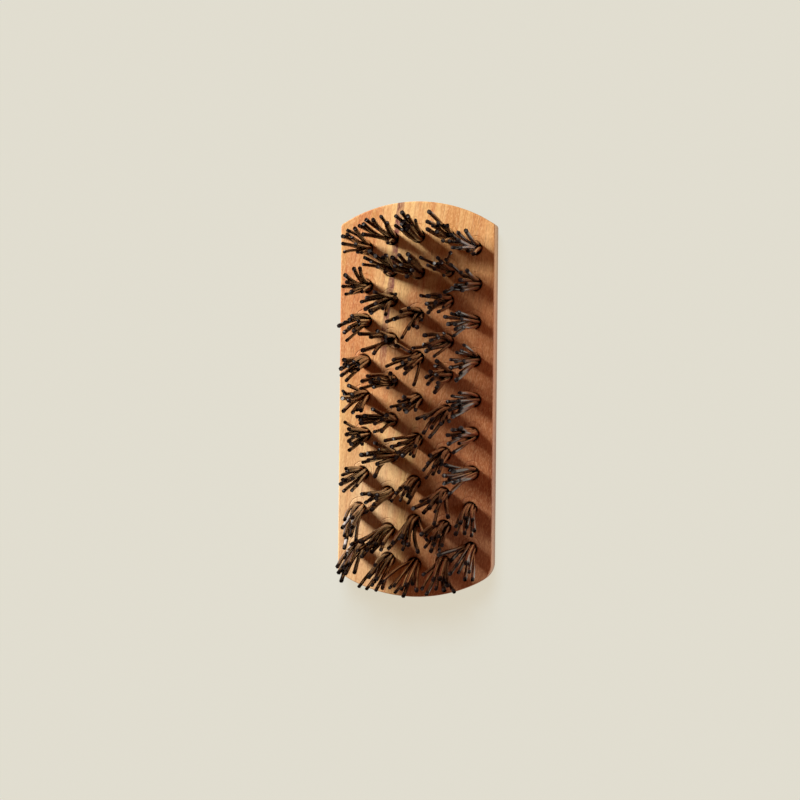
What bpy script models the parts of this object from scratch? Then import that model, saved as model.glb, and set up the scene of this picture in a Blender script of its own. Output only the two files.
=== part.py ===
# Staple-set cleaning brush: a drilled wooden block, 47 tufts of stiff filaments with thickened
# tips, and the flat wire anchors, driven into the wood, that each tuft is folded round.
# Sizes are in metres. The brush lies on its flat back, with its filaments up along Z and its
# length along Y. Columns run a to e from left to right, and tufts count down from the far end.

import math
import random

import bmesh
import bpy
from mathutils import Vector
from mathutils.bvhtree import BVHTree

# Block
BLOCK_LENGTH = 0.123
BLOCK_WIDTH = 0.0484
BLOCK_THICKNESS = 0.014
END_RISE = 0.0072             # the middle of each bowed end stands this far past its corners
CORNER_RADIUS = 0.0012
CREASE_RADIUS = 0.0004        # what is left of a corner where the back edge is rounded in past it
FRONT_EDGE_RADIUS = 0.0004
BACK_EDGE_RADIUS = 0.0055

# Drilled holes, counted by column
HOLE_DIAMETER = 0.0044
HOLE_DEPTH = 0.0095
HOLE_CHAMFER = 0.0003
SIDE_MARGIN = 0.0070          # side of the block to the middle of the outer columns
OUTER_END_MARGIN = 0.0147     # end of the block to the last hole of the outer columns
INNER_END_MARGIN = 0.0112     # the same for the staggered columns
CENTRE_END_MARGIN = 0.0103    # the same for the middle column
DRILL_POINT_ANGLE = math.radians(118)
OUTER_ROWS = 9
CENTRE_ROWS = 9

# Flat wire anchors, one across each hole
ANCHOR_THICKNESS = 0.0004
ANCHOR_HEIGHT = 0.0018
ANCHOR_BITE = 0.0006          # each end is driven this far into the wood
ANCHOR_LIFT = 0.0016          # underside of the wire above the shoulder of the hole's floor
ANCHOR_TURN = math.radians(30)

# Filaments
FILAMENT_DIAMETER = 0.0011
TIP_DIAMETER = 0.0014
TIP_LENGTH = 0.0012           # the last stretch, where a filament thickens to its tip
FREE_LENGTH = 0.0200
ROOT_SINK = 0.0005            # the packed roots end this far below the face
ROOT_RIM = 0.0001             # least rim round the filaments on the packed roots
ROOT_SPACING = 0.0003         # least gap between two filaments of the ring at their roots

CLEARANCE = 0.0003            # gap between pieces that touch
CUT_OVERRUN = 0.001           # how far a cutter reaches past the face

# How the filaments vary
LENGTH_JITTER_SHARE = 0.04
BEND_HEIGHT_SHARE = 0.5
BEND_REACH_SHARE = 0.44
BENT_EVERY = 8                # one filament in this many is bent, and the rest are straight

# How far each hole was drilled off its even place, as shares of the column pitch across and of
# the row pitch along
DRIFT_SHARES = {
    "a1": (0.11, 0.02), "a2": (0.13, 0.00), "a3": (0.10, 0.07), "a4": (0.08, 0.00), "a5": (0.06, 0.07),
    "a6": (0.11, 0.05), "a7": (0.05, 0.01), "a8": (-0.05, 0.05), "a9": (-0.04, 0.04),
    "b1": (0.06, -0.02), "b2": (0.04, -0.07), "b3": (0.05, 0.13), "b4": (0.07, 0.07), "b5": (0.08, -0.03),
    "b6": (0.10, -0.06), "b7": (0.11, 0.00), "b8": (0.01, -0.01), "b9": (0.03, 0.01), "b10": (0.04, 0.03),
    "c1": (0.02, -0.04), "c2": (0.03, 0.09), "c3": (0.01, 0.05), "c4": (0.03, 0.00), "c5": (0.00, -0.02),
    "c6": (0.02, 0.01), "c7": (-0.04, -0.02), "c8": (-0.02, 0.04), "c9": (-0.01, -0.01),
    "d1": (0.11, 0.03), "d2": (0.12, -0.07), "d3": (0.10, 0.11), "d4": (0.11, 0.05), "d5": (0.09, 0.15),
    "d6": (0.10, 0.17), "d7": (0.05, 0.05), "d8": (0.03, -0.01), "d9": (0.07, 0.12), "d10": (0.05, -0.01),
    "e1": (0.10, 0.01), "e2": (0.11, 0.06), "e3": (0.09, 0.05), "e4": (0.10, 0.05), "e5": (0.12, -0.01),
    "e6": (0.06, 0.09), "e7": (0.07, 0.06), "e8": (0.01, 0.11), "e9": (0.03, 0.05),
}

# Where each filament of a tuft ends, seen from above its hole, in the same shares: the ones of
# the ring in turn from the right side on, and the middle one last
TIP_SHARES = {
    "a1": [(0.05, -0.03), (0.01, 0.39), (-0.26, 0.34), (-0.45, 0.19),
           (-0.43, -0.01), (-0.38, -0.23), (0.27, -0.25), (-0.09, 0.15)],
    "a2": [(0.26, -0.25), (0.20, 0.37), (-0.05, 0.39), (-0.34, 0.20),
           (-0.46, -0.10), (-0.35, -0.31), (-0.10, -0.25), (-0.30, 0.01)],
    "a3": [(0.18, -0.07), (-0.06, 0.06), (-0.33, -0.12), (-0.57, -0.21),
           (-0.34, -0.38), (-0.26, -0.60), (0.00, -0.34), (-0.16, -0.25)],
    "a4": [(0.21, -0.26), (0.06, -0.06), (-0.34, -0.01), (-0.41, -0.24),
           (-0.44, -0.44), (-0.23, -0.56), (-0.10, -0.32), (-0.17, -0.17)],
    "a5": [(0.34, -0.42), (0.00, 0.02), (-0.12, 0.27), (-0.29, 0.12),
           (-0.34, -0.07), (-0.30, -0.42), (0.02, -0.47), (-0.10, -0.13)],
    "a6": [(0.22, -0.02), (-0.13, 0.16), (-0.32, 0.35), (-0.23, 0.01),
           (-0.12, -0.16), (-0.11, -0.40), (0.36, -0.24), (0.00, -0.04)],
    "a7": [(0.24, -0.28), (0.06, -0.10), (-0.16, 0.17), (-0.30, 0.00),
           (-0.33, -0.23), (-0.27, -0.44), (0.06, -0.40), (-0.18, -0.14)],
    "a8": [(0.19, -0.40), (0.18, -0.15), (-0.10, -0.22), (-0.19, -0.44),
           (-0.10, -0.65), (-0.14, -1.06), (0.31, -0.82), (0.11, -0.70)],
    "a9": [(0.26, -0.61), (0.06, -0.38), (-0.03, -0.09), (-0.35, -0.42),
           (-0.37, -0.65), (-0.23, -0.84), (-0.06, -0.62), (-0.15, -0.45)],
    "b1": [(0.21, 0.30), (-0.02, 0.45), (-0.28, 0.35), (-0.60, 0.38),
           (-0.86, 0.22), (-0.73, -0.02), (0.25, -0.26), (-0.14, 0.13)],
    "b2": [(0.19, 0.30), (-0.20, 0.27), (-0.41, 0.40), (-0.56, 0.22),
           (-0.67, 0.05), (-0.10, -0.02), (0.18, -0.16), (-0.35, 0.12)],
    "b3": [(0.57, 0.08), (-0.23, 0.14), (-0.49, -0.03), (-0.72, -0.14),
           (-0.56, -0.33), (-0.34, -0.43), (0.21, -0.47), (-0.17, -0.18)],
    "b4": [(0.58, -0.21), (-0.10, 0.18), (-0.37, 0.02), (-0.86, 0.11),
           (-0.67, -0.34), (-0.22, -0.41), (1.19, -0.40), (0.19, -0.08)],
    "b5": [(0.52, 0.01), (0.38, 0.19), (-0.47, 0.11), (-0.72, -0.03),
           (-0.77, -0.23), (-0.23, -0.18), (0.28, -0.19), (-0.42, -0.04)],
    "b6": [(0.22, 0.15), (-0.30, 0.30), (-0.62, 0.12), (-0.92, 0.09),
           (-0.72, -0.08), (-0.21, -0.30), (0.04, -0.30), (-0.22, -0.09)],
    "b7": [(-0.22, 0.01), (-0.23, 0.38), (-0.45, 0.09), (-0.73, 0.04),
           (-0.66, -0.16), (-0.18, -0.52), (-0.14, -0.20), (-0.44, -0.09)],
    "b8": [(-0.11, -0.23), (-0.02, 0.01), (-0.29, 0.03), (-0.61, 0.03),
           (-0.46, -0.20), (-0.46, -0.47), (-0.20, -0.38), (-0.28, -0.12)],
    "b9": [(0.19, -0.27), (-0.37, -0.31), (-0.67, -0.27), (-1.03, -0.33),
           (-0.81, -0.51), (-0.68, -0.70), (0.14, -0.43), (-0.48, -0.50)],
    "b10": [(0.17, -0.71), (-0.04, -0.45), (-0.06, -0.03), (-0.29, -0.36),
            (-0.71, -0.66), (-0.47, -0.76), (-0.08, -0.76), (-0.22, -0.63)],
    "c1": [(0.27, 0.27), (-0.03, 0.41), (-0.27, 0.53), (-0.45, 0.39),
           (-0.45, 0.14), (-0.23, 0.04), (0.01, 0.13), (-0.17, 0.26)],
    "c2": [(0.01, 0.20), (-0.03, 0.38), (-0.36, 0.37), (-0.61, 0.30),
           (-0.53, -0.05), (-0.04, -0.22), (0.15, -0.05), (-0.25, 0.10)],
    "c3": [(0.54, -0.20), (0.05, 0.11), (-0.23, 0.01), (-0.38, -0.16),
           (-0.83, -0.27), (-0.19, -0.70), (0.38, -0.41), (0.06, -0.46)],
    "c4": [(0.15, -0.31), (0.08, -0.07), (-0.19, -0.18), (-0.54, -0.10),
           (-0.77, -0.27), (-0.09, -0.46), (0.24, -0.80), (-0.06, -0.32)],
    "c5": [(0.35, -0.28), (0.13, -0.10), (-0.05, 0.07), (-0.25, -0.05),
           (-0.57, -0.20), (-0.25, -0.26), (0.02, -0.31), (-0.07, -0.14)],
    "c6": [(0.27, -0.43), (0.34, -0.15), (-0.49, 0.04), (-0.77, 0.00),
           (-0.56, -0.16), (-0.38, -0.47), (-0.12, -0.39), (-0.31, -0.32)],
    "c7": [(0.20, -0.37), (0.13, -0.12), (-0.13, -0.10), (-0.31, -0.26),
           (-0.45, -0.45), (-0.13, -0.44), (0.14, -0.53), (-0.03, -0.28)],
    "c8": [(0.88, -0.45), (0.15, -0.59), (-0.09, -0.38), (-0.42, -0.52),
           (-0.66, -0.73), (-0.06, -0.71), (0.53, -0.77), (-0.05, -0.53)],
    "c9": [(0.47, -0.59), (0.08, -0.46), (-0.38, -0.49), (-0.91, -0.41),
           (-0.56, -0.55), (-0.34, -0.66), (-0.06, -0.81), (-0.08, -0.55)],
    "d1": [(0.30, 0.16), (-0.06, 0.23), (-0.43, 0.56), (-0.43, 0.25),
           (-0.43, 0.06), (-0.09, -0.01), (0.15, -0.26), (-0.23, 0.14)],
    "d2": [(0.08, 0.10), (0.43, 0.37), (-0.06, 0.23), (-0.68, 0.23),
           (-0.42, 0.03), (-0.17, -0.07), (0.19, -0.25), (-0.17, 0.07)],
    "d3": [(0.20, -0.25), (0.05, 0.05), (-0.33, 0.04), (-0.66, 0.06),
           (-0.40, -0.16), (-0.36, -0.40), (0.01, -0.37), (-0.11, -0.14)],
    "d4": [(0.23, 0.15), (-0.27, -0.04), (-0.49, 0.09), (-0.50, -0.16),
           (-0.97, -0.25), (-0.42, -0.33), (-0.15, -0.47), (-0.30, -0.20)],
    "d5": [(-0.02, -0.02), (-0.03, 0.35), (-0.24, 0.06), (-0.41, -0.10),
           (-0.31, -0.27), (-0.09, -0.50), (0.03, -0.23), (-0.19, -0.15)],
    "d6": [(0.45, -0.24), (-0.19, -0.21), (-0.46, -0.19), (-0.78, -0.20),
           (-0.53, -0.61), (-0.26, -0.68), (0.16, -0.32), (-0.18, -0.42)],
    "d7": [(0.15, -0.43), (0.24, -0.15), (-0.17, 0.00), (-0.26, -0.22),
           (-0.43, -0.41), (-0.33, -0.61), (-0.09, -0.52), (-0.05, -0.30)],
    "d8": [(0.02, -0.42), (0.25, -0.13), (-0.18, -0.12), (-0.49, -0.13),
           (-0.84, -0.35), (0.00, -0.78), (0.53, -0.56), (-0.15, -0.31)],
    "d9": [(0.27, -0.39), (0.14, -0.17), (-0.13, -0.22), (-0.48, -0.11),
           (-0.36, -0.46), (-0.14, -0.57), (0.17, -0.53), (-0.05, -0.42)],
    "d10": [(0.50, -0.55), (0.23, -0.33), (-0.03, -0.39), (-0.38, -0.22),
            (-0.45, -0.63), (-0.27, -0.76), (0.80, -0.74), (0.07, -0.67)],
    "e1": [(0.24, -0.29), (-0.05, 0.35), (-0.31, 0.28), (-0.61, 0.26),
           (-0.67, 0.07), (-0.52, -0.11), (-0.26, -0.12), (-0.33, 0.09)],
    "e2": [(-0.01, -0.09), (0.01, 0.26), (-0.26, 0.22), (-0.65, 0.46),
           (-0.82, -0.32), (-0.44, -0.12), (-0.17, -0.26), (-0.24, 0.01)],
    "e3": [(-0.18, 0.03), (-0.26, 0.20), (-0.54, 0.16), (-0.81, 0.08),
           (-0.68, -0.12), (-0.48, -0.45), (-0.10, -0.19), (-0.39, -0.14)],
    "e4": [(-0.08, -0.06), (-0.07, 0.36), (-0.33, 0.16), (-0.53, -0.03),
           (-0.55, -0.24), (-0.36, -0.59), (-0.19, -0.24), (-0.35, -0.09)],
    "e5": [(-0.32, -0.03), (-0.22, 0.18), (-0.49, 0.10), (-0.73, -0.06),
           (-0.63, -0.28), (-0.47, -0.44), (-0.19, -0.23), (-0.47, -0.16)],
    "e6": [(-0.16, -0.02), (-0.13, 0.19), (-0.40, 0.13), (-0.59, -0.01),
           (-0.54, -0.24), (-0.38, -0.47), (-0.17, -0.22), (-0.40, -0.09)],
    "e7": [(-0.16, -0.13), (-0.43, 0.08), (-0.77, 0.27), (-0.72, -0.02),
           (-0.78, -0.25), (-0.50, -0.50), (-0.40, -0.21), (-0.57, -0.13)],
    "e8": [(0.47, -0.50), (0.41, -0.22), (-0.02, -0.29), (-0.22, -0.43),
           (-0.23, -0.64), (0.11, -0.61), (0.37, -0.64), (0.18, -0.44)],
    "e9": [(0.28, -0.50), (0.15, -0.27), (-0.23, -0.39), (-0.86, -0.06),
           (-0.48, -0.62), (0.12, -0.74), (0.40, -0.75), (-0.14, -0.56)],
}

# Facets
HOLE_SIDES = 12
ROOT_SIDES = 6
STRAND_SIDES = 3
END_STEPS = 20
CORNER_STEPS = 3
FRONT_EDGE_STEPS = 2
BACK_EDGE_STEPS = 5
GAP_SAMPLES = 30
SHARP_ANGLE = math.radians(40)

# Worked out from the sizes above
COLUMN_NAMES = "abcde"
COLUMN_PITCH = (BLOCK_WIDTH - 2 * SIDE_MARGIN) / (len(COLUMN_NAMES) - 1)
ROW_PITCH = (BLOCK_LENGTH - 2 * OUTER_END_MARGIN) / (OUTER_ROWS - 1)
HOLE_RADIUS = HOLE_DIAMETER / 2
HOLE_CLEAR_RADIUS = HOLE_RADIUS * math.cos(math.pi / HOLE_SIDES)
HOLE_FLOOR = BLOCK_THICKNESS - HOLE_DEPTH
ROOT_RADIUS = HOLE_CLEAR_RADIUS - CLEARANCE
ROOT_BOTTOM = HOLE_FLOOR + CLEARANCE
ROOT_TOP = BLOCK_THICKNESS - ROOT_SINK
ANCHOR_BOTTOM = HOLE_FLOOR + ANCHOR_LIFT
ANCHOR_REACH = HOLE_CLEAR_RADIUS + ANCHOR_BITE
FILAMENT_RADIUS = FILAMENT_DIAMETER / 2
TIP_RADIUS = TIP_DIAMETER / 2


def clear_scene():
    for thing in list(bpy.data.objects):
        bpy.data.objects.remove(thing, do_unlink=True)


def make_material(name, colour, roughness, metallic):
    material = bpy.data.materials.new(name)
    material.use_nodes = True
    shader = material.node_tree.nodes["Principled BSDF"]
    shader.inputs["Base Color"].default_value = (*colour, 1)
    shader.inputs["Roughness"].default_value = roughness
    shader.inputs["Metallic"].default_value = metallic
    return material


def make_object(name, bm, material=None):
    """Turn a bmesh into a smooth-shaded object with its faces pointing out."""
    bmesh.ops.recalc_face_normals(bm, faces=bm.faces)
    mesh = bpy.data.meshes.new(name)
    bm.to_mesh(mesh)
    bm.free()
    mesh.shade_smooth()
    mesh.set_sharp_from_angle(angle=SHARP_ANGLE)
    if material:
        mesh.materials.append(material)
    thing = bpy.data.objects.new(name, mesh)
    bpy.context.scene.collection.objects.link(thing)
    return thing


def combine(target, guide, operation):
    """Cut a guide out of an object, or join it on, and keep the guide hidden."""
    guide.hide_render = True
    guide.display_type = "WIRE"
    modifier = target.modifiers.new(guide.name, "BOOLEAN")
    modifier.operation = operation
    modifier.solver = "EXACT"
    modifier.object = guide


def circle(radius, height, sides, turn, centre=(0, 0)):
    """Corners of a regular polygon at one height."""
    points = []
    for step in range(sides):
        angle = turn + 2 * math.pi * step / sides
        x = centre[0] + radius * math.cos(angle)
        y = centre[1] + radius * math.sin(angle)
        points.append(Vector((x, y, height)))
    return points


def add_ring(bm, points):
    return [bm.verts.new(point) for point in points]


def join_rings(bm, lower, upper):
    for step, corner in enumerate(lower):
        following = (step + 1) % len(lower)
        bm.faces.new((corner, lower[following], upper[following], upper[step]))


def fill_between(bm, outer, inners):
    """Fill a flat outline that has closed islands left out of it."""
    edges = []
    for loop in [outer, *inners]:
        for step, corner in enumerate(loop):
            following = loop[(step + 1) % len(loop)]
            edges.append(bm.edges.get((corner, following)) or bm.edges.new((corner, following)))
    bmesh.ops.triangle_fill(bm, use_beauty=True, edges=edges)


# The block

def block_outline(inset):
    """The block seen from the front, moved in by inset: straight sides and bowed ends."""
    end_radius = (BLOCK_WIDTH ** 2 / 4 + END_RISE ** 2) / (2 * END_RISE)
    centre_y = BLOCK_LENGTH / 2 - end_radius
    end_radius -= inset
    corner_radius = max(CORNER_RADIUS - inset, CREASE_RADIUS)
    corner_x = BLOCK_WIDTH / 2 - inset - corner_radius
    corner_rise = math.sqrt((end_radius - corner_radius) ** 2 - corner_x ** 2)
    corner_y = centre_y + corner_rise
    corner_turn = math.atan2(corner_rise, corner_x)
    end_turn = math.pi - 2 * corner_turn

    half = []
    for step in range(CORNER_STEPS):
        angle = corner_turn * step / CORNER_STEPS
        x = corner_x + corner_radius * math.cos(angle)
        half.append((x, corner_y + corner_radius * math.sin(angle)))
    for step in range(END_STEPS):
        angle = corner_turn + end_turn * step / END_STEPS
        half.append((end_radius * math.cos(angle), centre_y + end_radius * math.sin(angle)))
    for step in range(CORNER_STEPS + 1):
        angle = math.pi - corner_turn * (1 - step / CORNER_STEPS)
        x = -corner_x + corner_radius * math.cos(angle)
        half.append((x, corner_y + corner_radius * math.sin(angle)))
    return half + [(-x, -y) for x, y in half]


def block_levels():
    """Inset and height of each outline, from the flat back up to the face."""
    levels = []
    for step in range(BACK_EDGE_STEPS + 1):
        angle = math.pi / 2 * step / BACK_EDGE_STEPS
        inset = BACK_EDGE_RADIUS * (1 - math.sin(angle))
        levels.append((inset, BACK_EDGE_RADIUS * (1 - math.cos(angle))))
    for step in range(FRONT_EDGE_STEPS + 1):
        angle = math.pi / 2 * step / FRONT_EDGE_STEPS
        inset = FRONT_EDGE_RADIUS * (1 - math.cos(angle))
        levels.append((inset, BLOCK_THICKNESS - FRONT_EDGE_RADIUS * (1 - math.sin(angle))))
    return levels


def make_block(places, material):
    bm = bmesh.new()
    rings = []
    for inset, height in block_levels():
        outline = [(x, y, height) for x, y in block_outline(inset)]
        rings.append(add_ring(bm, outline))
    for lower, upper in zip(rings, rings[1:]):
        join_rings(bm, lower, upper)
    bm.faces.new(rings[0])
    bm.faces.new(rings[-1])
    block = make_object("wood_block", bm, material)
    combine(block, make_drills(places), "DIFFERENCE")
    combine(block, make_anchors(places), "UNION")


def make_drills(places):
    """One drill for each hole: a coned point, a straight wall and a chamfered mouth."""
    point_depth = HOLE_RADIUS / math.tan(DRILL_POINT_ANGLE / 2)
    mouth_reach = HOLE_CHAMFER + CUT_OVERRUN
    levels = [
        (HOLE_RADIUS, HOLE_FLOOR),
        (HOLE_RADIUS, BLOCK_THICKNESS - HOLE_CHAMFER),
        (HOLE_RADIUS + mouth_reach, BLOCK_THICKNESS + CUT_OVERRUN),
    ]
    turn = ANCHOR_TURN + math.pi / HOLE_SIDES
    bm = bmesh.new()
    for centre in places.values():
        rings = [add_ring(bm, circle(r, z, HOLE_SIDES, turn, centre)) for r, z in levels]
        for lower, upper in zip(rings, rings[1:]):
            join_rings(bm, lower, upper)
        point = bm.verts.new((*centre, HOLE_FLOOR - point_depth))
        for step, corner in enumerate(rings[0]):
            bm.faces.new((corner, rings[0][(step + 1) % HOLE_SIDES], point))
        bm.faces.new(rings[-1])
    return make_object("drills", bm)


# The anchors

def anchor_corners(reach, grow):
    """Corners of the two ends of a bar on an anchor's line, grown by a clearance."""
    along = Vector((math.cos(ANCHOR_TURN), math.sin(ANCHOR_TURN), 0)) * reach
    side = Vector((-along.y, along.x, 0)).normalized() * (ANCHOR_THICKNESS / 2 + grow)
    low = Vector((0, 0, ANCHOR_BOTTOM - grow))
    high = Vector((0, 0, ANCHOR_BOTTOM + ANCHOR_HEIGHT + grow))
    ends = []
    for end in (-along, along):
        ends.append([end - side + low, end + side + low, end + side + high, end - side + high])
    return ends


def make_anchors(places):
    bm = bmesh.new()
    for centre in places.values():
        middle = Vector((*centre, 0))
        near, far = anchor_corners(ANCHOR_REACH, 0)
        near_ring = add_ring(bm, [middle + corner for corner in near])
        far_ring = add_ring(bm, [middle + corner for corner in far])
        join_rings(bm, near_ring, far_ring)
        bm.faces.new(near_ring)
        bm.faces.new(far_ring)
    return make_object("anchors", bm)


# The tufts

def tuft_places():
    """Middle of each hole by tuft name, the middle column and its neighbours staggered."""
    half_length = BLOCK_LENGTH / 2
    centre_pitch = (BLOCK_LENGTH - 2 * CENTRE_END_MARGIN) / (CENTRE_ROWS - 1)
    outer = [half_length - OUTER_END_MARGIN - ROW_PITCH * row for row in range(OUTER_ROWS)]
    between = [(upper + lower) / 2 for upper, lower in zip(outer, outer[1:])]
    last = half_length - INNER_END_MARGIN
    inner = [last, *between, -last]
    centre = [half_length - CENTRE_END_MARGIN - centre_pitch * row for row in range(CENTRE_ROWS)]
    rows = {"a": outer, "b": inner, "c": centre, "d": inner, "e": outer}
    places = {}
    for number, column in enumerate(COLUMN_NAMES):
        x = -BLOCK_WIDTH / 2 + SIDE_MARGIN + COLUMN_PITCH * number
        for row, y in enumerate(rows[column]):
            name = f"{column}{row + 1}"
            across, along = DRIFT_SHARES.get(name, (0, 0))
            places[name] = (x + across * COLUMN_PITCH, y + along * ROW_PITCH)
    return places


def root_ring():
    """Radius of the ring of filaments on the packed roots, and how many fit round it."""
    rim = ROOT_RADIUS * math.cos(math.pi / ROOT_SIDES) - ROOT_RIM
    half_edge = FILAMENT_RADIUS * math.sin(math.pi / STRAND_SIDES)
    edge_reach = FILAMENT_RADIUS * math.cos(math.pi / STRAND_SIDES)
    outer_edge = math.sqrt(rim ** 2 - half_edge ** 2)
    needed = 2 * math.atan(half_edge / outer_edge) + ROOT_SPACING / rim
    return outer_edge - edge_reach, int(2 * math.pi / needed)


def tip_offsets(name, count):
    """Where a tuft's filaments end, seen from above its hole: the ring first, the middle last."""
    *ring, middle = TIP_SHARES.get(name, TIP_SHARES["c5"])
    tips = []
    for step in range(count):
        place = step * len(ring) / count
        near = Vector(ring[int(place)])
        far = Vector(ring[(int(place) + 1) % len(ring)])
        tips.append(near.lerp(far, place % 1))
    tips.append(Vector(middle))
    return [Vector((tip.x * COLUMN_PITCH, tip.y * ROW_PITCH, 0)) for tip in tips]


def tuft_strands(name, centre, first_number):
    """Each filament of a tuft: the turn of its section and its rings as (middle, radius)."""
    ring_radius, count = root_ring()
    chance = random.Random(first_number)
    foot = Vector((*centre, ROOT_TOP))
    strands = []
    for step, tip_offset in enumerate(tip_offsets(name, count)):
        angle = 2 * math.pi * step / count
        in_ring = step < count
        outward = Vector((math.cos(angle), math.sin(angle), 0)) * (ring_radius if in_ring else 0)
        root = foot + outward
        rise = Vector((0, 0, FREE_LENGTH + ROOT_SINK))
        length = rise.z * (1 + chance.uniform(-LENGTH_JITTER_SHARE, LENGTH_JITTER_SHARE))
        tip = root + (tip_offset - outward + rise).normalized() * length
        rings = [(root, FILAMENT_RADIUS)]
        before_tip = root
        if (first_number + step) % BENT_EVERY == 0:
            sideways = Vector((tip.x - root.x, tip.y - root.y, 0))
            height = Vector((0, 0, tip.z - root.z))
            before_tip = root + sideways * BEND_REACH_SHARE + height * BEND_HEIGHT_SHARE
            rings.append((before_tip, FILAMENT_RADIUS))
        neck = tip + (before_tip - tip).normalized() * TIP_LENGTH
        rings += [(neck, FILAMENT_RADIUS), (tip, TIP_RADIUS)]
        strands.append((angle + math.pi, rings))
    return strands


def add_strand(bm, turn, rings):
    """One filament as a thin prism along its rings. Gives back its root, left open."""
    upward = Vector((0, 0, 1))
    loops = []
    for number, (middle, radius) in enumerate(rings):
        corners = circle(radius, 0, STRAND_SIDES, turn)
        if number:
            tilt = upward.rotation_difference(middle - rings[number - 1][0])
            corners = [tilt @ corner for corner in corners]
        loops.append(add_ring(bm, [middle + corner for corner in corners]))
    for lower, upper in zip(loops, loops[1:]):
        join_rings(bm, lower, upper)
    bm.faces.new(loops[-1])
    return loops[0]


def make_tuft(name, centre, strands, material):
    """Packed roots with the slot that their fold leaves for the anchor, and the filaments."""
    bm = bmesh.new()
    turn = ANCHOR_TURN + math.pi / ROOT_SIDES
    bottom = add_ring(bm, circle(ROOT_RADIUS, ROOT_BOTTOM, ROOT_SIDES, turn, centre))
    top = add_ring(bm, circle(ROOT_RADIUS, ROOT_TOP, ROOT_SIDES, turn, centre))
    slot_reach = ROOT_RADIUS * math.cos(math.pi / ROOT_SIDES)
    middle = Vector((*centre, 0))
    slot_ends = []
    for corners in anchor_corners(slot_reach, CLEARANCE):
        slot_ends.append(add_ring(bm, [middle + corner for corner in corners]))
    join_rings(bm, *slot_ends)
    slotted = {ROOT_SIDES // 2 - 1: slot_ends[0], ROOT_SIDES - 1: slot_ends[1]}
    for side in range(ROOT_SIDES):
        following = (side + 1) % ROOT_SIDES
        wall = (bottom[side], bottom[following], top[following], top[side])
        if side in slotted:
            fill_between(bm, wall, [slotted[side]])
        else:
            bm.faces.new(wall)
    bm.faces.new(bottom)
    roots = [add_strand(bm, strand_turn, rings) for strand_turn, rings in strands]
    fill_between(bm, top, roots)
    return make_object(f"tuft_{name}", bm, material)


def least_gap(all_strands):
    """Least distance from points along one filament's corners to the faces of any other."""
    samples = []
    for turn, rings in all_strands:
        bm = bmesh.new()
        add_strand(bm, turn, rings)
        faces = BVHTree.FromBMesh(bm)
        shafts = [edge for edge in bm.edges if edge.calc_length() > TIP_DIAMETER]
        bmesh.ops.subdivide_edges(bm, edges=shafts, cuts=GAP_SAMPLES)
        samples.append((faces, [corner.co.copy() for corner in bm.verts]))
        bm.free()
    least = BLOCK_LENGTH
    for number, (faces, points) in enumerate(samples):
        for other_faces, other_points in samples[number + 1:]:
            if (points[0] - other_points[0]).length > 2 * FREE_LENGTH:
                continue
            if faces.overlap(other_faces):
                return 0
            for place in other_points:
                least = min(least, faces.find_nearest(place, least)[3] or least)
    return least


def main():
    clear_scene()
    wood = make_material("honey wood", (0.60, 0.33, 0.15), 0.55, 0)
    filament = make_material("dark brown filament", (0.035, 0.020, 0.014), 0.3, 0)

    places = tuft_places()
    make_block(places, wood)
    all_strands = []
    for name, centre in places.items():
        strands = tuft_strands(name, centre, len(all_strands))
        make_tuft(name, centre, strands, filament)
        all_strands += strands
    print(f"{len(places)} tufts, {len(all_strands)} filaments")
    print(f"least gap between filaments {least_gap(all_strands) * 1000:.2f} mm")


main()
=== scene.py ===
# Looks of the cleaning brush: an oiled fruitwood block drilled with 47 holes, each set with a
# tuft of stiff, glossy dark filaments. Metres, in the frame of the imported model: the brush lies
# on its flat back, Z runs up along the filaments and Y along the block.

import math
import random

import bmesh
import bpy
from mathutils import Matrix, Vector


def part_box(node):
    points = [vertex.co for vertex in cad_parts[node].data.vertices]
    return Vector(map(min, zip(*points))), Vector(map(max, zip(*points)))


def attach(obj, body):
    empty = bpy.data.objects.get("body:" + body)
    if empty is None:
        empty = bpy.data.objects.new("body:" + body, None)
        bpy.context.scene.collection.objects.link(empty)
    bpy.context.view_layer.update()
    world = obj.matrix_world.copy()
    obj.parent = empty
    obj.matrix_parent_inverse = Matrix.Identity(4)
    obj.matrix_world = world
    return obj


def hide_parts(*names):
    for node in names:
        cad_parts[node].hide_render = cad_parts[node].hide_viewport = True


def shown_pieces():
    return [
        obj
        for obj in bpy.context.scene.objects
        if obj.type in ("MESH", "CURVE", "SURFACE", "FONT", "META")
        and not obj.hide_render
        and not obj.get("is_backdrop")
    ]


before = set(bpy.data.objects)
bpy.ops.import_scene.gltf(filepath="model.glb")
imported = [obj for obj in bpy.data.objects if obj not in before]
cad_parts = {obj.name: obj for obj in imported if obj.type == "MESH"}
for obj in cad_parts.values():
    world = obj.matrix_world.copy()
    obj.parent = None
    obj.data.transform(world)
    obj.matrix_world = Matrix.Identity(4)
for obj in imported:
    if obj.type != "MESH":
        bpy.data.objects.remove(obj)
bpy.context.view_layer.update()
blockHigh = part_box("wood_block")[1]
faceHeight = blockHigh.z
tuftNodes = [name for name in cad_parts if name.startswith("tuft_")]
tiny = 1e-6         # a length that counts as none
print("frame loaded:", len(tuftNodes), "tufts")


# Handling of objects and selections

def deselectAll():
    if bpy.context.object and bpy.context.object.mode != "OBJECT":
        bpy.ops.object.mode_set(mode="OBJECT")
    bpy.ops.object.select_all(action="DESELECT")


def choose(piece):
    # selects this piece alone
    deselectAll()
    piece.select_set(True)
    bpy.context.view_layer.objects.active = piece


def startEdit(piece):
    choose(piece)
    bpy.ops.object.mode_set(mode="EDIT")


def endEdit():
    bpy.ops.object.mode_set(mode="OBJECT")


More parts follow.
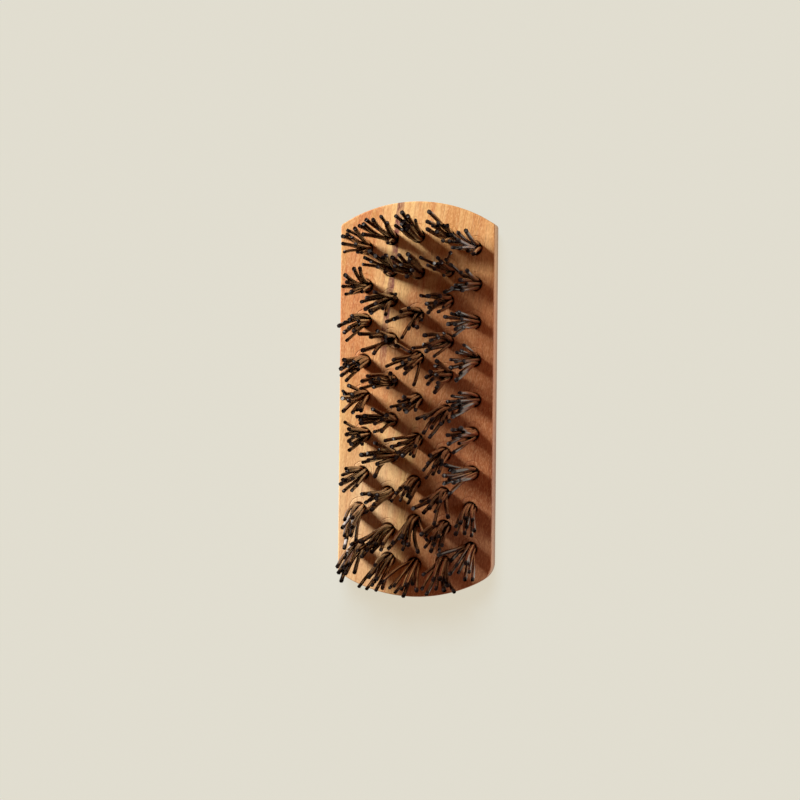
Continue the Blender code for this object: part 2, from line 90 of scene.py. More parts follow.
def pickEdges(test):
    # selects the edges of the edited piece that pass the test
    bpy.ops.mesh.select_mode(type="EDGE")
    bpy.ops.mesh.select_all(action="DESELECT")
    mesh = bpy.context.object.data
    bm = bmesh.from_edit_mesh(mesh)
    for edge in bm.edges:
        if test(edge):
            edge.select_set(True)
    bm.select_flush_mode()
    bmesh.update_edit_mesh(mesh)


def bothEnds(test):
    return lambda edge: all(test(vertex.co) for vertex in edge.verts)


def pullRing(up, grow):
    # carries the selected ring up by that much and scales it about the Z axis
    bpy.ops.mesh.extrude_region_move(TRANSFORM_OT_translate={"value": (0, 0, up)})
    bpy.ops.transform.resize(value=(grow, grow, 1), center_override=(0, 0, 0))


def faceOut():
    bpy.ops.mesh.select_all(action="SELECT")
    bpy.ops.mesh.remove_doubles(threshold=tiny / 10)
    bpy.ops.mesh.normals_make_consistent(inside=False)


def applyModifier(piece, kind, **settings):
    modifier = piece.modifiers.new(kind.lower(), kind)
    for name, value in settings.items():
        setattr(modifier, name, value)
    choose(piece)
    bpy.ops.object.modifier_apply(modifier=modifier.name)


def copyOf(piece, shift=(0, 0, 0)):
    twin = piece.copy()
    twin.data = piece.data.copy()
    twin.data.transform(Matrix.Translation(shift))
    bpy.context.scene.collection.objects.link(twin)
    return twin


def named(piece, name):
    piece.name = name
    piece.data.name = name
    return piece


def joined(pieces, name):
    choose(pieces[0])
    for piece in pieces:
        piece.select_set(True)
    bpy.ops.object.join()
    return named(pieces[0], name)


def smoothByAngle(piece, degrees):
    choose(piece)
    bpy.ops.object.shade_smooth_by_angle(angle=math.radians(degrees))


# Shader maths

def tint(red, green, blue):
    # a screen colour, 0 to 255, as the linear colour that a shader takes
    shares = [level / 255 for level in (red, green, blue)]
    return (*[s / 12.92 if s <= 0.04045 else ((s + 0.055) / 1.055) ** 2.4 for s in shares], 1)


class Link:
    # an output of a material's node; sums on a value become Math nodes
    def __init__(self, finish, socket):
        self.finish = finish
        self.socket = socket

    def work(self, operation, first, second=0.0):
        return self.finish.add("ShaderNodeMath", {"operation": operation}, {0: first, 1: second})

    def __add__(self, other):
        return self.work("ADD", self, other)

    def __radd__(self, other):
        return self.work("ADD", other, self)

    def __sub__(self, other):
        return self.work("SUBTRACT", self, other)

    def __rsub__(self, other):
        return self.work("SUBTRACT", other, self)

    def __mul__(self, other):
        return self.work("MULTIPLY", self, other)

    def __rmul__(self, other):
        return self.work("MULTIPLY", other, self)

    def __abs__(self):
        return self.work("ABSOLUTE", self)


class Finish:
    # one material, its Principled shader and the nodes that feed it
    def __init__(self, name, **fixed):
        self.material = bpy.data.materials.new(name)
        self.material.use_nodes = True
        self.tree = self.material.node_tree
        self.shader = self.tree.nodes["Principled BSDF"]
        self.end(**fixed)

    def feed(self, socket, value):
        if isinstance(value, Link):
            self.tree.links.new(value.socket, socket)
        else:
            socket.default_value = value

    def add(self, kind, settings=None, sockets=None, out=0):
        # a node of that kind: its settings, then its sockets, and the output that is used
        node = self.tree.nodes.new(kind)
        for name, value in (settings or {}).items():
            setattr(node, name, value)
        for name, value in (sockets or {}).items():
            self.feed(node.inputs[name], value)
        return Link(self, node.outputs[out])

    def mix(self, factor, first, second, blend="MIX"):
        sockets = {"Factor": factor, 6: first, 7: second}
        return self.add("ShaderNodeMix", {"data_type": "RGBA", "blend_type": blend}, sockets, out=2)

    def noise(self, place, scale, detail=2.0, rough=0.5):
        sockets = {"Vector": place, "Scale": scale, "Detail": detail, "Roughness": rough}
        return self.add("ShaderNodeTexNoise", {}, sockets)

    def rise(self, value, low, high):
        # 0 below low, 1 above high, and smooth in between
        sockets = {"Value": value, "From Min": low, "From Max": high}
        return self.add("ShaderNodeMapRange", {"interpolation_type": "SMOOTHSTEP"}, sockets)

    def fall(self, value, low, high):
        # 1 below low, 0 above high
        return 1 - self.rise(value, low, high)

    def place(self):
        return self.add("ShaderNodeTexCoord", out="Object")

    def split(self, place):
        node = self.tree.nodes.new("ShaderNodeSeparateXYZ")
        self.feed(node.inputs[0], place)
        return [Link(self, socket) for socket in node.outputs]

    def point(self, x, y, z):
        return self.add("ShaderNodeCombineXYZ", {}, {0: x, 1: y, 2: z})

    def bump(self, height, strength, distance):
        sockets = {"Strength": strength, "Distance": distance, "Height": height}
        return self.add("ShaderNodeBump", {}, sockets)

    def end(self, **values):
        for socket, value in values.items():
            self.feed(self.shader.inputs[socket.replace("_", " ")], value)
        return self.material


# The wooden block

wood = {
    "honey": tint(201, 151, 92),
    "pale": tint(217, 179, 120),
    "palest": tint(229, 196, 137),
    "rose": tint(193, 119, 73),
    "nearTone": tint(222, 195, 156),
    "heart": tint(195, 127, 82),
    "heartDark": tint(170, 102, 63),
    "streak": tint(112, 50, 58),
    "pore": tint(112, 66, 40),
    "glint": tint(236, 202, 150),
    # painted shade inside the holes
    "hole": tint(58, 30, 18),
    # the colour of the painted shade low on the sides
    "sideShade": tint(96, 72, 54),
    "specular": 0.35,
    "roughness": (0.42, 0.60),
    "relief": (0.25, 0.00012),      # strength and depth of the bump
    "slant": 0.115,                 # sideways run of the grain for each metre along
    "wander": 0.004,                # how far it strays from that
    # each pattern's stretch across, along and down, its scale, detail and roughness
    "bands": (1.0, 0.05, 1.0, 190.0, 3.0, 0.55),
    "broad": (1.0, 0.03, 0.4, 330.0, 2.0, 0.50),
    "patches": (1.0, 0.24, 0.6, 620.0, 3.0, 0.60),
    "blotches": (0.5, 0.40, 1.0, 420.0, 2.0, 0.50),
    "fibres": (1.0, 0.016, 1.0, 1500.0, 3.0, 0.60),
    "pores": (1.0, 0.07, 1.0, 2600.0, 1.0, 0.50),
    "grit": (1.0, 0.30, 1.0, 2800.0, 3.0, 0.75),
    # where one look turns into the next, along the block
    "nearEnd": (-0.012, 0.020),
    "middle": ((-0.022, 0.002), (0.026, 0.044)),
    "farEnd": (0.016, 0.048),
    "streakEnd": (0.004, 0.022),
    "palestEnd": (0.002, 0.030),
    # corners of the face that differ from the rest, across and along
    "farRight": ((0.002, 0.011), (0.016, 0.048)),
    "nearLeft": ((-0.0210, -0.0150), (0.000, 0.014)),
    "nearRight": ((0.004, 0.014), (-0.048, -0.026)),
    "nearSide": ((-0.0070, 0.0012), (-0.036, -0.002)),
    # places across the slanted grain
    "streakPlace": -0.0122,
    "streakWidth": (0.0001, 0.0013),
    "streakBlur": 0.0006,
    "palestWidth": (0.0046, 0.0070),
    "heartEdge": (0.0009, 0.0165),  # the soft edge of the heartwood
    "heartLine": (0.0011, 0.0023),  # its sharp edge, at the near end
    "shadeBelow": (0.0050, 0.0125),    # the sides are painted darker towards the back edge, painted shade
}


def woodFinish():
    finish = Finish("oiledFruitwood", Specular_IOR_Level=wood["specular"])
    x, y, z = finish.split(finish.place())
    wander = finish.noise(finish.point(0.0, y, z * 0.5), 28.0, 1.0) - 0.5
    across = x - y * wood["slant"] + wander * wood["wander"]

    def pattern(name):
        sideways, along, down, scale, detail, rough = wood[name]
        place = finish.point(across * sideways, y * along, z * down)
        return finish.noise(place, scale, detail, rough)

    bands = pattern("bands")
    patches = pattern("patches")
    fibres = pattern("fibres")
    grit = pattern("grit")
    pores = finish.rise(pattern("pores"), 0.63, 0.72)
    rings = finish.add(
        "ShaderNodeTexWave",
        {"wave_type": "BANDS", "bands_direction": "X", "wave_profile": "SAW"},
        {"Vector": finish.point(across, y * wood["bands"][1], z), "Scale": 120.0,
         "Distortion": 5.0, "Detail": 2.0, "Detail Scale": 1.2},
        out="Fac",
    )

    # sapwood with reddish patches, paler down the left side
    near = finish.fall(y, *wood["nearEnd"])
    far = finish.rise(y, *wood["farEnd"])
    middle = finish.rise(y, *wood["middle"][0]) * finish.fall(y, *wood["middle"][1])
    farRight = finish.rise(x, *wood["farRight"][0]) * finish.rise(y, *wood["farRight"][1])
    nearLeft = finish.fall(x, *wood["nearLeft"][0]) * finish.fall(y, *wood["nearLeft"][1])
    nearSide = finish.fall(across, *wood["nearSide"][0]) * finish.fall(y, *wood["nearSide"][1])
    rosy = 0.60 - farRight * 0.42 - nearLeft * 0.50
    base = finish.mix(finish.rise(bands - near * 0.10, 0.40, 0.60), wood["pale"], wood["honey"])
    broad = finish.rise(pattern("broad") - near * 0.04 + middle * 0.20, 0.50, 0.62)
    base = finish.mix(broad * rosy, base, wood["rose"])
    short = finish.rise(patches - near * 0.04, 0.48, 0.62)
    base = finish.mix(short * rosy * 0.6, base, wood["rose"])
    paler = nearSide * (0.88 - finish.rise(bands, 0.36, 0.62) * 0.40)
    base = finish.mix(paler, base, wood["nearTone"])

    # heartwood, sharper towards the near end
    heart = finish.rise(across, *wood["heartEdge"]) * (0.50 - far * 0.42)
    heart = heart + finish.rise(across, *wood["heartLine"]) * near * 0.50
    heart = finish.add("ShaderNodeClamp", {}, {"Value": heart})
    heartTone = finish.mix(finish.rise(bands, 0.35, 0.65), wood["heartDark"], wood["heart"])
    base = finish.mix(heart, base, heartTone)
    nearRight = finish.rise(x, *wood["nearRight"][0]) * finish.fall(y, *wood["nearRight"][1])
    base = finish.mix(nearRight * 0.26, base, wood["nearTone"])

    # the purple streak in its pale band, broken, and fading out down the block
    off = abs(across - wood["streakPlace"])
    beside = finish.fall(off, *wood["palestWidth"]) * finish.rise(y, *wood["palestEnd"])
    base = finish.mix(beside * (0.85 - bands * 0.60), base, wood["palest"])
    thin, wide = wood["streakWidth"]
    width = finish.noise(finish.point(0.0, y, 0.0), 110.0, 2.0) * (wide - thin) + thin
    streak = finish.fall(off - width, 0.0, wood["streakBlur"]) * finish.rise(y, *wood["streakEnd"])
    broken = finish.rise(pattern("blotches"), 0.36, 0.56) * 0.50 + 0.45
    base = finish.mix(streak * broken, base, wood["streak"])

    # growth lines and fibre, pores, and grit that is bright or dark
    growth = (1 - rings) * 0.12 + finish.fall(fibres, 0.32, 0.60) * 0.26
    base = finish.mix(growth, base, wood["rose"], "MULTIPLY")
    base = finish.mix(pores * 0.35, base, wood["pore"])
    base = finish.mix(finish.rise(grit, 0.46, 0.72) * 0.50, base, wood["glint"])
    base = finish.mix(finish.fall(grit, 0.30, 0.50) * 0.32, base, wood["pore"])
    # painted shade: the sides get darker towards the back edge
    base = finish.mix(finish.fall(z, *wood["shadeBelow"]) * 0.50, base, wood["sideShade"])

    # painted shade: the inside of the holes is painted dark
    deep = finish.fall(z, faceHeight - 0.0014, faceHeight - 0.00032)
    inside = deep * finish.fall(abs(x), blockHigh.x - 0.003, blockHigh.x - 0.002)
    base = finish.mix(inside * 0.85, base, wood["hole"])
    low, high = wood["roughness"]
    relief = finish.bump(fibres * 0.6 + pores * -0.8 + grit * 0.35, *wood["relief"])
    return finish.end(Base_Color=base, Roughness=fibres * (high - low) + low, Normal=relief)


block = {
    "endRise": 0.0072,          # the middle of each bowed end stands this far past its corners
    "endSides": 240,            # sides of the whole circle that the ends are cut from
    "cornerSpan": 0.0046,       # no side of an end is split this close to a corner
    "backRound": 0.0055,
    "backSteps": 10,
    "cornerSetback": 0.00060,   # gives the corners a radius of 1.2 mm
    "wornSetback": 0.0031,      # the near right corner is worn rounder
    "cornerSteps": 6,
    "rimRound": 0.0004,
    "rimSteps": 3,
    "smoothAngle": 35,
}
drill = {
    "radius": 0.0022,
    "depth": 0.0095,            # from the face to the shoulder of the hole's floor
    "pointAngle": 118,
    "flare": 0.0003,
    "overrun": 0.0005,
    "sides": 40,
    "ringRadius": 0.0030,       # the faint ring that the setting tool presses round a hole
    "ringWire": 0.00022,
    "ringDepth": 0.00008,
    "ringShift": (0.00010, 0.00070),
    "ringTilt": 1.2,
    "ringSides": (36, 8),
}


def modelBlock():
    halfWidth, halfLength = blockHigh.x, blockHigh.y
    arcRadius = (halfWidth ** 2 + block["endRise"] ** 2) / (2 * block["endRise"])
    arcMiddle = halfLength - arcRadius
    corner = Vector((halfWidth, halfLength - block["endRise"]))

    def splitNearCorner(edge):
        start, end = (vertex.co for vertex in edge.verts)
        off = (Vector((abs(start.x), abs(start.y))) - corner).length
        return abs(start.z - end.z) > faceHeight / 2 and 1e-5 < off < block["cornerSpan"]

    def onCrease(place):
        # as far from the side as from the end
        fromSide = halfWidth - abs(place.x)
        fromEnd = arcRadius - math.hypot(place.x, abs(place.y) - arcMiddle)
        return abs(fromSide - fromEnd) < 1e-4 and abs(place.y) > halfLength / 2

    def atCorner(edge, wearAndGlare):
        # the edges along the sides run from crease to crease too, but they are long
        start, end = (vertex.co for vertex in edge.verts)
        if (start - end).length >= faceHeight:
            return False
        return all(onCrease(place) and (place.x > 0 > place.y) == wearAndGlare for place in (start, end))

    def bevel(offset, steps):
        bpy.ops.mesh.bevel(offset=offset, segments=steps, clamp_overlap=False)

    # one end cut from a disc, mirrored to the other
    deselectAll()
    bpy.ops.mesh.primitive_cylinder_add(
        vertices=block["endSides"], radius=arcRadius, depth=faceHeight,
        location=(0, arcMiddle, faceHeight / 2))
    piece = bpy.context.object
    bpy.ops.object.transform_apply(location=True, rotation=True, scale=True)
    startEdit(piece)
    cuts = [((halfWidth, 0, 0), (1, 0, 0), True),
            ((-halfWidth, 0, 0), (-1, 0, 0), True),
            ((0, 0, 0), (0, -1, 0), False)]
    for place, normal, closed in cuts:
        bpy.ops.mesh.select_all(action="SELECT")
        bpy.ops.mesh.bisect(
            plane_co=place, plane_no=normal, use_fill=closed, clear_outer=True, threshold=tiny)
    pickEdges(splitNearCorner)
    bpy.ops.mesh.dissolve_edges(use_verts=True)
    endEdit()
    applyModifier(piece, "MIRROR", use_axis=(False, True, False), merge_threshold=1e-5)
    startEdit(piece)
    pickEdges(bothEnds(lambda place: abs(place.y) < tiny))
    bpy.ops.mesh.dissolve_edges(use_verts=True)
    faceOut()

    # the back edge is rounded first, then the corners all the way down, then the rim of the face
    pickEdges(bothEnds(lambda place: place.z < tiny))
    bevel(block["backRound"], block["backSteps"])
    pickEdges(lambda edge: atCorner(edge, False))
    bevel(block["cornerSetback"], block["cornerSteps"])
    pickEdges(lambda edge: atCorner(edge, True))
    bevel(block["wornSetback"], block["cornerSteps"] * 2)
    pickEdges(bothEnds(lambda place: place.z > faceHeight - tiny))
    bevel(block["rimRound"], block["rimSteps"])
    faceOut()
    endEdit()
    return piece


def modelDrill():
    # a twist drill's shape with a flared mouth
    deselectAll()
    mouth = drill["radius"] + drill["flare"] + drill["overrun"]
    bpy.ops.mesh.primitive_circle_add(
        vertices=drill["sides"], radius=mouth, fill_type="NGON",
        location=(0, 0, faceHeight + drill["overrun"]))
    bit = bpy.context.object
    bpy.ops.object.transform_apply(location=True, rotation=True, scale=True)
    startEdit(bit)
    bpy.ops.mesh.select_all(action="SELECT")
    pullRing(-drill["flare"] - drill["overrun"], drill["radius"] / mouth)
    pullRing(drill["flare"] - drill["depth"], 1)
    point = drill["radius"] / math.tan(math.radians(drill["pointAngle"] / 2))
    pullRing(-point, 0.02)      # nearly a point, which the merge makes one
    bpy.ops.mesh.merge(type="CENTER")
    faceOut()
    endEdit()
    return bit


def modelRing():
    # the ring of the setting tool, sunk a little into the face and less so on one side
    deselectAll()
    around, section = drill["ringSides"]
    bpy.ops.mesh.primitive_torus_add(
        major_radius=drill["ringRadius"], minor_radius=drill["ringWire"],
        major_segments=around, minor_segments=section,
        location=(*drill["ringShift"], faceHeight + drill["ringWire"] - drill["ringDepth"]))
    ring = bpy.context.object
    bpy.ops.object.transform_apply(location=True, rotation=True, scale=True)
    startEdit(ring)
    bpy.ops.mesh.select_all(action="SELECT")
    bpy.ops.transform.rotate(
        value=math.radians(drill["ringTilt"]), orient_axis="X", center_override=(0, 0, faceHeight))
    endEdit()
    return ring


def holeMiddles():
    # the middle of each hole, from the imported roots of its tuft, a millimetre or more down
    middles = {}
    for name in tuftNodes:
        corners = [vertex.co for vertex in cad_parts[name].data.vertices]
        roots = {tuple(round(c, 7) for c in place) for place in corners if place.z < faceHeight - 0.001}
        middles[name] = sum((Vector(root[:2]) for root in roots), Vector((0, 0))) / len(roots)
    return middles


middles = holeMiddles()
blockPiece = modelBlock()
for tool in (modelRing(), modelDrill()):
    tools = joined([copyOf(tool, (*middle, 0)) for middle in middles.values()], "cutters")
    applyModifier(blockPiece, "BOOLEAN", operation="DIFFERENCE", solver="MANIFOLD", object=tools)
    bpy.data.objects.remove(tool)
    bpy.data.objects.remove(tools)
smoothByAngle(blockPiece, block["smoothAngle"])
applyModifier(blockPiece, "WEIGHTED_NORMAL", keep_sharp=True)
named(blockPiece, "fruitwoodBlock")
blockPiece.data.materials.clear()
blockPiece.data.materials.append(woodFinish())
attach(blockPiece, "root")
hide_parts("wood_block")
print("block:", len(blockPiece.data.polygons), "faces")


# Flat wire anchors, one across each hole, driven into the wood at both ends

anchor = {
    "size": (0.00545, 0.0004, 0.0018),
    "bottom": 0.0061,
    "turn": 30,
    "edge": 0.00009,
    "smoothAngle": 40,
    "colours": (tint(150, 152, 156), tint(190, 191, 193)),
    "roughness": (0.25, 0.45),
}


def anchorFinish():
    finish = Finish("anchorWire", Metallic=1.0)
    drawn = finish.noise(finish.place(), 900.0, 2.0)
    colour = finish.mix(drawn, *anchor["colours"])
    low, high = anchor["roughness"]
    return finish.end(Base_Color=colour, Roughness=drawn * (high - low) + low)


def modelAnchor():
    length, thick, height = anchor["size"]
    deselectAll()
    bpy.ops.mesh.primitive_cube_add(size=1, location=(0, 0, anchor["bottom"] + height / 2))
    wire = bpy.context.object
    wire.scale = (length, thick, height)
    wire.rotation_euler.z = math.radians(anchor["turn"])
    bpy.ops.object.transform_apply(location=True, rotation=True, scale=True)
    startEdit(wire)
    pickEdges(lambda edge: True)
    bpy.ops.mesh.bevel(offset=anchor["edge"], segments=2)
    faceOut()
    endEdit()
    return wire


wire = modelAnchor()
anchors = joined([copyOf(wire, (*middle, 0)) for middle in middles.values()], "wireAnchors")
bpy.data.objects.remove(wire)
smoothByAngle(anchors, anchor["smoothAngle"])
anchors.data.materials.append(anchorFinish())
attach(anchors, "root")
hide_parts("wood_block")
print("anchors:", len(middles))


# The tufts. Each filament is one half of a longer one, folded round the anchor.

bristle = {
    "specular": 0.12,
    "coatRoughness": 0.14,
    # dark is the painted shade on the far flank of a filament, brown its flank towards the painted light
    "dark": (tint(28, 8, 4), tint(58, 20, 11)),         # of the darkest and the brightest filament
    "brown": (tint(50, 18, 10), tint(156, 75, 38)),
    # the painted highlight along each filament
    "line": tint(255, 204, 136),
    "nearBrown": tint(44, 24, 22),
    # the duller colour of the painted shade on the filaments to the right
    "rightBrown": tint(94, 56, 44),
    "glareBrown": tint(192, 184, 182),
    "glareLine": tint(244, 244, 246),
    "tip": tint(18, 12, 13),
    "nearEnd": (-0.044, -0.014),
    "rightSide": (-0.004, 0.012),
    "relief": (0.06, 0.00005),
    "paintedLightSide": (0.50, 0.60, 0.62),     # each filament gets a painted highlight on its flank towards this side, and painted shade on the far flank
    "darkBias": 1.4,                    # above 1, more of the filaments are dark than bright
    # how much painted glare some of them carry, by tuft and number
    "wearAndGlare": {
        "tuft_e1": {4: 0.45, 5: 0.45},
        "tuft_a8": {1: 1.0, 2: 1.0},
        "tuft_a9": {3: 1.0},
        "tuft_a2": {3: 1.0},
    },
}
filament = {
    "sides": 6,
    "radius": 0.00062,
    "width": (0.82, 1.16),      # a filament's own share of that radius
    "tipRadius": 0.00065,
    "tipLength": 0.0011,
    "tipShape": ((0, 0), (0.40, 0.75), (0.78, 1), (1, -0.6)),   # shares of length and thickening
    "cut": 0.70,                # most that the end of a filament slants
    "shorter": 0.0003,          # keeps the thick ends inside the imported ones
    "length": 0.0280,           # from the fold to the tip, before it is fitted to its place
    "inHole": 0.28,             # about the share of that length that the hole hides
    "rings": (0.0010, 0.0030, 0.0080, 0.0108, 0.0136, 0.0168, 0.0200, 0.0234),
    "spread": 1.22,             # the roots fill the hole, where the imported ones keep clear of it
    "foldSpread": 0.85,         # the folds lie this much closer along the wire than the roots
    "foldRise": 0.0004,         # a fold reaches this far past the edges of the wire
    "extra": 2,                 # more filaments in each tuft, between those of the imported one
    "extraPlace": (0.35, 0.65),
    "extraReach": (0.80, 0.97),
    "bow": (0.22, 0.52),        # how much steeper a filament leaves its hole than it ends
    "sway": 0.00065,
    "smoothAngle": 75,
    "seed": 12,
}


def bristleFinish():
    finish = Finish(
        "glossyFilament", Specular_IOR_Level=bristle["specular"], Coat_Roughness=bristle["coatRoughness"])
    shade, reach, towardLight, wearAndGlare = [
        finish.add("ShaderNodeAttribute", {"attribute_name": name}, out="Fac")
        for name in ("shade", "reach", "towardLight", "wearAndGlare")]
    place = finish.place()
    x, y = finish.split(place)[:2]
    mottle = finish.noise(place, 160.0, 2.0)
    right = finish.rise(x, *bristle["rightSide"])
    fade = finish.rise(reach + mottle * 0.3, 0.52, 1.00) * (1 - wearAndGlare)

    # painted shade on the flank away from the painted light side, brown towards it, and a painted
    # highlight, a thin bright line, along the flank that faces it
    dark = finish.mix(shade, *bristle["dark"])
    brown = finish.mix(shade, *bristle["brown"])
    brown = finish.mix(finish.fall(y, *bristle["nearEnd"]) * 0.30, brown, bristle["nearBrown"])
    # painted shade: the filaments on the right are painted duller, and their highlight line weaker
    brown = finish.mix(right * 0.36, brown, bristle["rightBrown"])
    # painted glare: some filaments are painted lighter, with a whiter highlight line kept all along
    brown = finish.mix(wearAndGlare, brown, bristle["glareBrown"])
    bright = finish.mix(wearAndGlare, bristle["line"], bristle["glareLine"])
    colour = finish.mix(finish.rise(towardLight, -0.05, 0.62) * (1 - fade * 0.78), dark, brown)
    # painted highlight: a thin bright line on the flank towards the painted light, weaker on the right
    # and towards the tips
    line = finish.rise(towardLight, 0.76, 0.88) * (1 - fade * 0.65) * (1 - right * 0.6 * (1 - wearAndGlare))
    colour = finish.mix(line * (shade * 0.65 + 0.38), colour, bright)

    # the thickened ends are black, and only some of them glint
    tip = finish.rise(reach, 0.91, 0.96)
    colour = finish.mix(tip * 0.95, colour, bristle["tip"])
    rough = mottle * 0.12 + 0.20 + tip * finish.fall(shade, 0.50, 0.80) * 0.30
    coat = (1 - tip) * 0.85 + 0.05
    relief = finish.bump(mottle, *bristle["relief"])
    return finish.end(Base_Color=colour, Roughness=rough, Coat_Weight=coat, Normal=relief)


def modelFilament():
    # straight, on the origin, with its fold at the bottom
    deselectAll()
    radius, thicker = filament["radius"], filament["tipRadius"] - filament["radius"]
    neck = filament["length"] - filament["tipLength"]
    bpy.ops.mesh.primitive_circle_add(vertices=filament["sides"], radius=radius, fill_type="NGON")
    piece = bpy.context.object
    startEdit(piece)
    bpy.ops.mesh.select_all(action="SELECT")
    profile = [(height, radius) for height in filament["rings"]]
    for height, share in filament["tipShape"]:
        profile.append((neck + height * filament["tipLength"], radius + thicker * share))
    below, previous = 0.0, radius
    for height, wide in profile:
        pullRing(height - below, wide / previous)
        below, previous = height, wide
    faceOut()
    endEdit()

    # how far along and how far round towards the side that gets the painted highlight; each copy gets its
    # shade, a random tone, and its painted glare
    marks = piece.data.attributes
    for name in ("reach", "towardLight", "shade", "wearAndGlare"):
        marks.new(name, "FLOAT", "POINT")
    hidden = filament["inHole"]
    for vertex in piece.data.vertices:
        share = (vertex.co.z / filament["length"] - hidden) / (1 - hidden)
        marks["reach"].data[vertex.index].value = max(share, 0)
        marks["towardLight"].data[vertex.index].value = vertex.co.y / vertex.co.xy.length
    return piece


def readStrands(name):
    # the middle line of each filament of a packed tuft: its root, a bend if it has one, and the
    # start and end of its thick tip
    bm = bmesh.new()
    bm.from_mesh(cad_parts[name].data)
    bmesh.ops.remove_doubles(bm, verts=bm.verts, dist=tiny)
    free = {vertex for vertex in bm.verts if vertex.co.z > faceHeight + 0.0005}
    strands = []
    while free:
        reached = [free.pop()]
        for vertex in reached:
            for edge in vertex.link_edges:
                other = edge.other_vert(vertex)
                if other in free:
                    free.remove(other)
                    reached.append(other)
        roots = {edge.other_vert(v) for v in reached for edge in v.link_edges} - set(reached)
        root = middleOf(roots)
        reached.sort(key=lambda v: (v.co - root).length)
        groups = [reached[i:i + 3] for i in range(0, len(reached), 3)]      # packed ones are three-sided
        strands.append([root] + [middleOf(group) for group in groups])
    bm.free()
    return sorted(strands, key=lambda line: (round(line[0].x, 5), round(line[0].y, 5)))


def middleOf(vertices):
    # summed from the far side to the near one, because a set has no order of its own and the
    # last digit decides which side of the anchor the middle filament of a tuft takes
    places = sorted((vertex.co for vertex in vertices), key=lambda co: tuple(co.yxz), reverse=True)
    return sum(places, Vector()) / len(places)


def throughPoints(points, steps):
    # a smooth line through the points
    ends = [points[0] * 2 - points[1], *points, points[-1] * 2 - points[-2]]
    line = []
    for a, b, c, d in zip(ends, ends[1:], ends[2:], ends[3:]):
        for i in range(steps):
            t = i / steps
            line.append(0.5 * (2 * b + (c - a) * t + (2 * a - 5 * b + 4 * c - d) * t * t
                               + (3 * b - a - 3 * c + d) * t ** 3))
    return line + [points[-1]]


def fillTuft(strands, middle, dice):
    # more filaments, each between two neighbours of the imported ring
    ring = sorted(strands, key=lambda line: math.atan2(line[0].y - middle.y, line[0].x - middle.x))
    extra = []
    for first in dice.sample(range(len(ring)), filament["extra"]):
        one, two = ring[first], ring[first - 1]
        share = dice.uniform(*filament["extraPlace"])
        root = one[0].lerp(two[0], share)
        tip = one[-1].lerp(two[-1], share)
        extra.append([root, root.lerp(tip, dice.uniform(*filament["extraReach"]))])
    return strands + extra


def filamentLine(strand, middle, dice):
    # down from the face into the hole and under the anchor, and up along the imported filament
    root, tip = strand[0], strand[-1]
    tip = tip + (root - tip).normalized() * filament["shorter"]
    root = Vector((*middle, root.z)).lerp(root, filament["spread"])
    turn = math.radians(anchor["turn"])
    along = Vector((math.cos(turn), math.sin(turn), 0))
    side = Vector((-math.sin(turn), math.cos(turn), 0))
    centre = Vector((*middle, 0))
    off = root - centre
    spine = centre + along * off.dot(along) * filament["foldSpread"]
    gap = anchor["size"][1] / 2 + filament["radius"]
    beside = spine + side * (gap if off.dot(side) >= 0 else -gap)
    low, high = anchor["bottom"], anchor["bottom"] + anchor["size"][2]
    hidden = [spine + Vector((0, 0, low - filament["radius"])),
              beside + Vector((0, 0, low + filament["foldRise"])),
              beside + Vector((0, 0, high + filament["foldRise"]))]
    if len(strand) > 3:
        control = strand[1] * 2 - (root + tip) / 2
    else:
        lean = Vector((tip.x - root.x, tip.y - root.y, 0))
        sway = Vector((dice.uniform(-1, 1), dice.uniform(-1, 1), 0)) * filament["sway"]
        control = (root + tip) / 2 - lean * dice.uniform(*filament["bow"]) + sway * 2
    above = []
    for t in (0, 0.25, 0.5, 0.75, 1):
        above.append(root * (1 - t) ** 2 + control * 2 * t * (1 - t) + tip * t * t)
    return throughPoints(hidden + above, 6)


def slantEnd(piece, dice):
    turn, slant = dice.uniform(0, 2 * math.pi), dice.uniform(0, filament["cut"])
    for vertex in piece.data.vertices:
        if vertex.co.z > filament["length"] - tiny:
            sideways = vertex.co.x * math.cos(turn) + vertex.co.y * math.sin(turn)
            vertex.co.z += (sideways - filament["radius"]) * slant


def layAlong(piece, line, width):
    # bends a straight filament onto a line, from end to end, with the flank that gets the painted
    # highlight turned to that side
    lengths = [0.0]
    for near, far in zip(line, line[1:]):
        lengths.append(lengths[-1] + (far - near).length)
    # the side of each filament that gets the painted highlight
    pale = Vector(bristle["paintedLightSide"])
    for vertex in piece.data.vertices:
        reach = vertex.co.z / filament["length"] * lengths[-1]
        i = min(max(sum(1 for length in lengths if length <= reach) - 1, 0), len(line) - 2)
        t = (reach - lengths[i]) / (lengths[i + 1] - lengths[i])
        ahead = line[min(i + 2, len(line) - 1)] - line[i + 1]
        behind = line[i + 1] - line[i]
        heading = behind.normalized().lerp(ahead.normalized(), t) if ahead.length else behind
        heading = heading.normalized()
        side = (pale - heading * pale.dot(heading)).normalized()
        ring = side * vertex.co.y + side.cross(heading) * vertex.co.x
        vertex.co = line[i].lerp(line[i + 1], t) + ring * width


def fillMark(piece, name, value):
    for item in piece.data.attributes[name].data:
        item.value = value


filamentModel = modelFilament()
bristles = bristleFinish()
dice = random.Random(filament["seed"])
total = 0
for name in tuftNodes:
    strands = []
    # the filaments of this tuft that carry a painted glare
    glareOnes = bristle["wearAndGlare"].get(name, {})
    for number, strand in enumerate(fillTuft(readStrands(name), middles[name], dice)):
        copied = copyOf(filamentModel)
        slantEnd(copied, dice)
        layAlong(copied, filamentLine(strand, middles[name], dice), dice.uniform(*filament["width"]))
        fillMark(copied, "shade", dice.random() ** bristle["darkBias"])
        fillMark(copied, "wearAndGlare", glareOnes.get(number, 0.0))
        strands.append(copied)
    total += len(strands)
    tuft = joined(strands, name.replace("tuft_", "bristles_"))
    smoothByAngle(tuft, filament["smoothAngle"])
    tuft.data.materials.append(bristles)
    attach(tuft, "root")
    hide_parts(name)
bpy.data.objects.remove(filamentModel)
print("tufts:", len(tuftNodes), "with", total, "filaments")


# Floor, light and camera

